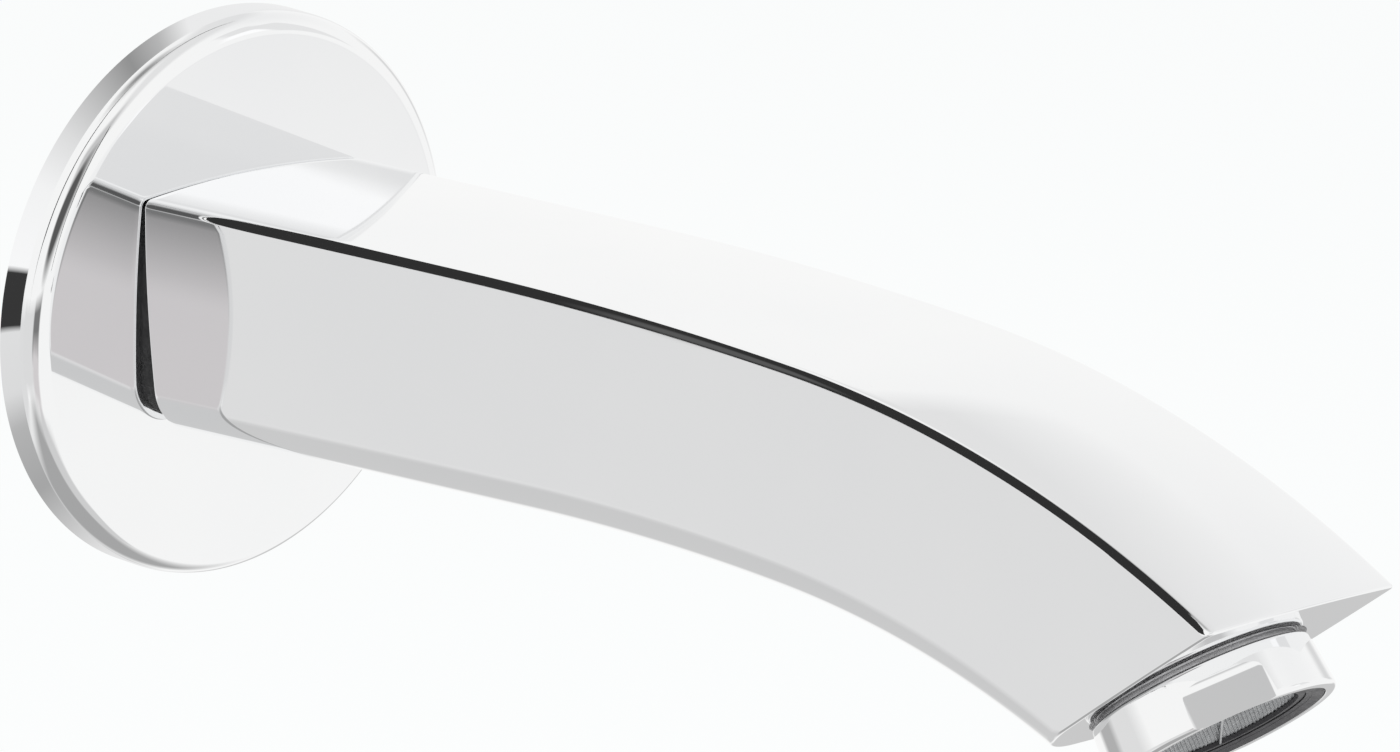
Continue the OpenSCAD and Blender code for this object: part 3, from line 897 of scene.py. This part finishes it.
class Sky:
    """The world that the metal mirrors: a white room with plain cards in it."""

    def __init__(self, colour):
        world = bpy.data.worlds.new("studio")
        bpy.context.scene.world = world
        world.use_nodes = True
        self.nodes = world.node_tree.nodes
        self.links = world.node_tree.links
        self.background = self.nodes["Background"]
        self.way = self.nodes.new("ShaderNodeTexCoord").outputs["Generated"]
        start = self.nodes.new("ShaderNodeRGB")
        start.outputs[0].default_value = (*colour, 1)
        self.colour = start.outputs[0]

    def math(self, operation, a, b=None, clamp=False):
        node = self.nodes.new("ShaderNodeMath")
        node.operation = operation
        node.use_clamp = clamp
        for socket, value in zip(node.inputs, (a, b)):
            if value is None:
                continue
            if isinstance(value, (int, float)):
                socket.default_value = value
            else:
                self.links.new(value, socket)
        return node.outputs[0]

    def along(self, axis):
        node = self.nodes.new("ShaderNodeVectorMath")
        node.operation = "DOT_PRODUCT"
        node.inputs[1].default_value = axis
        self.links.new(self.way, node.inputs[0])
        return node.outputs["Value"]

    def edge(self, offset, half, soft):
        """1 inside a half width, falling to 0 over the soft stretch outside it."""
        past = self.math("SUBTRACT", self.math("ABSOLUTE", offset), half)
        return self.math("SUBTRACT", 1, self.math("DIVIDE", past, soft), clamp=True)

    def card(self, azimuth, elevation, half_w, half_h, soft, colour):
        """A card at that place, with half sizes and soft edges in degrees."""
        centre = direction(azimuth, elevation)
        right = Vector((0, 0, 1)).cross(centre).normalized()
        up = centre.cross(right)
        ahead = self.along(centre)
        w, h, s = [math.tan(a) for a in radians_all(half_w, half_h, soft)]
        across = self.edge(self.math("DIVIDE", self.along(right), ahead), w, s)
        along = self.edge(self.math("DIVIDE", self.along(up), ahead), h, s)
        facing = self.math("GREATER_THAN", ahead, 0.02)
        mask = self.math("MULTIPLY", self.math("MULTIPLY", across, along), facing)
        self.lay(mask, colour)

    def lay(self, mask, colour):
        node = self.nodes.new("ShaderNodeMix")
        node.data_type = "RGBA"
        self.links.new(mask, node.inputs["Factor"])
        self.links.new(self.colour, node.inputs["A"])
        node.inputs["B"].default_value = (*colour, 1)
        self.colour = node.outputs["Result"]

    def done(self, plain_level):
        """Mirrors see the cards, the camera sees white, and the rest get a plain level."""
        rays = self.nodes.new("ShaderNodeLightPath")
        seen = self.nodes.new("ShaderNodeMix")
        seen.data_type = "RGBA"
        seen.inputs["A"].default_value = (plain_level, plain_level, plain_level, 1)
        self.links.new(rays.outputs["Is Glossy Ray"], seen.inputs["Factor"])
        self.links.new(self.colour, seen.inputs["B"])
        self.colour = seen.outputs["Result"]
        direct = self.math("MAXIMUM", rays.outputs["Is Camera Ray"], rays.outputs["Is Transmission Ray"])
        self.lay(direct, (1, 1, 1))
        self.links.new(self.colour, self.background.inputs["Color"])


def grey(level):
    return (level, level, level)


ROOM_COLOUR = (0.97, 0.97, 0.965)
PLAIN_LEVEL = 0.75
# The cards, laid in this order: azimuth, elevation, half width, half height and soft edge, all in
# degrees, and the colour
SKY_CARDS = (
    # Above on the right, mirrored by the top face towards the lip
    (92, 56, 10, 10, 30, grey(0.9)),
    # High on the right, mirrored by the flange's far edge
    (60, 68, 50, 8, 10, grey(0.8)),
    # The darker floor
    (-35, -80, 28, 28, 26, grey(0.4)),
    # The lit floor in front, mirrored by the body's lower edge near the flange
    (-4, -46, 26, 6, 4, grey(0.65)),
    # Behind and low, mirrored by the body's lower edge
    (174, -48, 22, 8, 10, grey(0.62)),
    # Behind and below on the left, mirrored by the body's near side
    (-137, -26.5, 26, 14.5, 10, grey(0.76)),
    # Low on the left, mirrored by the flange's edge
    (-84, -20, 24, 12, 6, grey(0.75)),
    # Straight above, where the dark line fades into the top face
    (-150, 82, 3, 3, 18, grey(0.3)),
    # Behind the wall, mirrored by the collar's left edge
    (-172, -22, 8, 5, 9, grey(0.45)),
    # Below on the right, mirrored by the lip's end face
    (118, -31, 9, 6, 6, grey(0.6)),
    # Level on the right, mirrored by the collar
    (100, 2, 4, 5, 8, grey(0.72)),
    # In front on the right: bright in the top face, and greyer beside and above that in the flange
    (42, 12, 2.8, 5, 2, grey(1.06)),
    (51.5, 15, 5.5, 13, 1.2, grey(0.83)),
    (44.5, 27, 4, 7, 3, grey(0.82)),
    # In front on the right and low, mirrored by the upper part of the flange's face
    (45.5, -12.5, 6, 1.2, 2.5, grey(0.89)),
    # The room above the camera, mirrored by the spanner flats
    (-32, 40, 14, 6, 8, grey(0.58)),
    # In front and low, seen through the corner between body and flange, darker at its top
    (-44, -14, 12, 6, 6, grey(0.2)),
    (-43, -27, 9, 5.5, 8, (0.67, 0.645, 0.65)),
)


def sky():
    studio = Sky(ROOM_COLOUR)
    for values in SKY_CARDS:
        studio.card(*values)
    studio.done(PLAIN_LEVEL)


def emitter(name):
    material = bpy.data.materials.new(name)
    material.use_nodes = True
    nodes = material.node_tree.nodes
    nodes.remove(nodes["Principled BSDF"])
    light = nodes.new("ShaderNodeEmission")
    material.node_tree.links.new(light.outputs["Emission"], nodes["Material Output"].inputs["Surface"])
    return material, light


def finite_card(name, place, points, faces, material):
    """A flat card near the object that only mirrors see. Its points are plane points in mm."""
    mesh = bpy.data.meshes.new(name)
    mesh.from_pydata([Vector((u, v, 0)) * MM for u, v in points], [], faces)
    mesh.materials.append(material)
    obj = bpy.data.objects.new(name, mesh)
    bpy.context.scene.collection.objects.link(obj)
    obj.matrix_world = Matrix.Translation(place.translation * MM) @ place.to_3x3().to_4x4()
    obj.visible_camera = False
    obj.visible_diffuse = False
    obj.visible_transmission = False
    obj.visible_volume_scatter = False
    obj.visible_shadow = False


def beside_wall(y):
    """A plane parallel to the wall, with plane points as (x, z)."""
    return Matrix.Translation((0, y, 0)) @ FROM_WALL


DARK_LEVEL = 0.03
# In (x, z), close to the wall
FLANGE_CARD_Y = -5
FLANGE_CARD = (
    (2, 44), (-13, 36.7), (-19.3, 32.3), (-25.2, 27.8), (-30, 23.3), (-33.2, 18.4),
    (-35.5, 13.3), (-38, 11.5), (-42, 9.5), (-210, -33),
    (-330, 0), (-460, 50), (-720, 170), (-1600, 520), (-1600, 9000), (2, 9000),
)
# In (y, z), on the left of the lip
TIP_CARD_X = -60
TIP_CARD = (
    (-143, 1), (-156, 0), (-162, 1), (-173, 10), (-180, 30), (-180, 150), (-143, 150),
)


def dark_cards():
    """Beside the flange and beside the tip, mirrored as the dark line along the near top edge."""
    material, light = emitter("dark card")
    light.inputs["Color"].default_value = (*grey(DARK_LEVEL), 1)
    face = tuple(range(len(FLANGE_CARD)))
    finite_card("card beside the flange", beside_wall(FLANGE_CARD_Y), FLANGE_CARD, [face], material)
    turn = Matrix.Rotation(math.pi / 2, 4, "Z")
    beside_tip = Matrix.Translation((TIP_CARD_X, 0, 0)) @ turn @ FROM_WALL
    face = tuple(range(len(TIP_CARD)))
    finite_card("card beside the tip", beside_tip, TIP_CARD, [face], material)


SOFT_CARD_PLACE = (-75, -60, 42)
SOFT_CARD_R = 40
SOFT_CARD_LEVEL = 0.1
SOFT_CARD_GAIN = 2.2


def soft_card():
    """A soft dark spot in front of the flange, mirrored as the dark line in its rounded edge."""
    material, light = emitter("soft dark card")
    light.inputs["Color"].default_value = (*grey(SOFT_CARD_LEVEL), 1)
    nodes = material.node_tree.nodes
    links = material.node_tree.links
    place = nodes.new("ShaderNodeTexCoord")
    size = nodes.new("ShaderNodeMapping")
    scale = 1 / (SOFT_CARD_R * MM)
    size.inputs["Scale"].default_value = (scale, scale, scale)
    spot = nodes.new("ShaderNodeTexGradient")
    spot.gradient_type = "SPHERICAL"
    strength = nodes.new("ShaderNodeMath")
    strength.operation = "MULTIPLY"
    strength.use_clamp = True
    strength.inputs[1].default_value = SOFT_CARD_GAIN
    clear = nodes.new("ShaderNodeBsdfTransparent")
    blend = nodes.new("ShaderNodeMixShader")
    links.new(place.outputs["Object"], size.inputs["Vector"])
    links.new(size.outputs["Vector"], spot.inputs["Vector"])
    links.new(spot.outputs["Fac"], strength.inputs[0])
    links.new(strength.outputs[0], blend.inputs["Fac"])
    links.new(clear.outputs["BSDF"], blend.inputs[1])
    links.new(light.outputs["Emission"], blend.inputs[2])
    links.new(blend.outputs["Shader"], nodes["Material Output"].inputs["Surface"])
    r = SOFT_CARD_R
    at = Matrix.Translation(SOFT_CARD_PLACE) @ FROM_WALL
    corners = [(-r, -r), (r, -r), (r, r), (-r, r)]
    finite_card("card in front of the flange", at, corners, [(0, 1, 2, 3)], material)


RIM_CARD_Y = 0.6
RIM_CARD_R = (37.4, 42.6)
RIM_CARD_SEGMENTS = 120
# Levels round the ring: degrees from the right over the top, and the grey there
RIM_GREYS = (
    (0, 0.88), (100, 0.88), (108, 0.5), (117, 0.3), (127, 0.52), (138, 0.76), (150, 0.95),
    (168, 1), (168.2, 0.04), (181, 0.04), (181.2, 0.78), (195, 0.75), (203, 0.48),
    (219, 0.4), (231, 0.58), (243, 0.77), (255, 0.86), (360, 0.88),
)


def rim_card():
    """A ring behind the flange, mirrored by the flange's rim alone."""
    material, light = emitter("rim card")
    nodes = material.node_tree.nodes
    links = material.node_tree.links
    place = nodes.new("ShaderNodeTexCoord")
    flip = nodes.new("ShaderNodeMapping")
    flip.inputs["Rotation"].default_value = (0, 0, math.pi)
    angle = nodes.new("ShaderNodeTexGradient")
    angle.gradient_type = "RADIAL"
    ramp = nodes.new("ShaderNodeValToRGB")
    links.new(place.outputs["Object"], flip.inputs["Vector"])
    links.new(flip.outputs["Vector"], angle.inputs["Vector"])
    links.new(angle.outputs["Fac"], ramp.inputs["Fac"])
    links.new(ramp.outputs["Color"], light.inputs["Color"])
    stops = ramp.color_ramp.elements
    for n, (degrees, level) in enumerate(RIM_GREYS):
        stop = stops[0] if n == 0 else stops.new(degrees / 360)
        stop.position = degrees / 360
        stop.color = (*grey(level), 1)
    stops.remove(stops[-1])
    points = []
    faces = []
    for n, (x, y) in enumerate(circle(1, RIM_CARD_SEGMENTS)):
        points += [(r * x, r * y) for r in RIM_CARD_R]
        k = (n + 1) % RIM_CARD_SEGMENTS
        faces.append((2 * n, 2 * n + 1, 2 * k + 1, 2 * k))
    finite_card("card behind the flange", beside_wall(RIM_CARD_Y), points, faces, material)


# Name, azimuth, elevation, distance from the object, size and watts
LAMPS = (
    ("key", -75, 50, 1500, 900, 14),
    ("fill", 40, 35, 1800, 1200, 8),
)


def lamp(name, azimuth, elevation, distance, size, watts):
    data = bpy.data.lights.new(name, "AREA")
    data.size = size * MM
    data.energy = watts
    obj = bpy.data.objects.new(name, data)
    bpy.context.scene.collection.objects.link(obj)
    way = direction(azimuth, elevation)
    obj.location = (VIEW_AIM + way * distance) * MM
    obj.rotation_mode = "QUATERNION"
    obj.rotation_quaternion = way.to_track_quat("Z", "Y")
    obj.visible_glossy = False


FLOOR_Z = -320
FLOOR_HALF = 12000
FLOOR_COLOUR = (0.9, 0.9, 0.9)
# What the camera sees of the floor: a share of white beside the lit floor with its shadow
FLOOR_WHITE = (0.985, 1, 1)
FLOOR_WHITE_SHARE = 0.85


def floor():
    material = bpy.data.materials.new("floor")
    material.use_nodes = True
    nodes = material.node_tree.nodes
    links = material.node_tree.links
    shader = nodes["Principled BSDF"]
    shader.inputs["Base Color"].default_value = (*FLOOR_COLOUR, 1)
    shader.inputs["Roughness"].default_value = 0.9
    shader.inputs["Specular IOR Level"].default_value = 0
    white = nodes.new("ShaderNodeEmission")
    white.inputs["Color"].default_value = (*FLOOR_WHITE, 1)
    rays = nodes.new("ShaderNodeLightPath")
    seen = nodes.new("ShaderNodeMath")
    seen.operation = "MULTIPLY"
    seen.inputs[1].default_value = FLOOR_WHITE_SHARE
    links.new(rays.outputs["Is Camera Ray"], seen.inputs[0])
    blend = nodes.new("ShaderNodeMixShader")
    links.new(seen.outputs[0], blend.inputs["Fac"])
    links.new(shader.outputs["BSDF"], blend.inputs[1])
    links.new(white.outputs["Emission"], blend.inputs[2])
    links.new(blend.outputs["Shader"], nodes["Material Output"].inputs["Surface"])
    signs = ((-1, -1), (1, -1), (1, 1), (-1, 1))
    corners = [(x * FLOOR_HALF, y * FLOOR_HALF, FLOOR_Z) for x, y in signs]
    mesh = bpy.data.meshes.new("floor")
    mesh.from_pydata([Vector(c) * MM for c in corners], [], [(0, 1, 2, 3)])
    mesh.materials.append(material)
    obj = bpy.data.objects.new("floor", mesh)
    bpy.context.scene.collection.objects.link(obj)
    obj.visible_glossy = False


def camera():
    back = direction(VIEW_AZIMUTH, VIEW_ELEVATION)
    level = Vector((0, 0, 1)).cross(back).normalized()
    spin = Matrix.Rotation(math.radians(VIEW_ROLL), 3, back)
    right = spin @ level
    up = back.cross(right)
    aim = VIEW_AIM + right * VIEW_AIM_RIGHT + up * VIEW_AIM_UP
    data = bpy.data.cameras.new("camera")
    data.sensor_width = SENSOR_W
    data.sensor_fit = "HORIZONTAL"
    data.lens = VIEW_LENS
    data.clip_start = 0.05
    data.clip_end = 60
    obj = bpy.data.objects.new("camera", data)
    bpy.context.scene.collection.objects.link(obj)
    turn = Matrix((right, up, back)).transposed()
    obj.matrix_world = Matrix.Translation((aim + back * VIEW_DISTANCE) * MM) @ turn.to_4x4()
    bpy.context.scene.camera = obj


sky()
dark_cards()
soft_card()
rim_card()
for values in LAMPS:
    lamp(*values)
floor()
camera()
bpy.context.scene.view_settings.view_transform = "Standard"

bpy.context.view_layer.update()
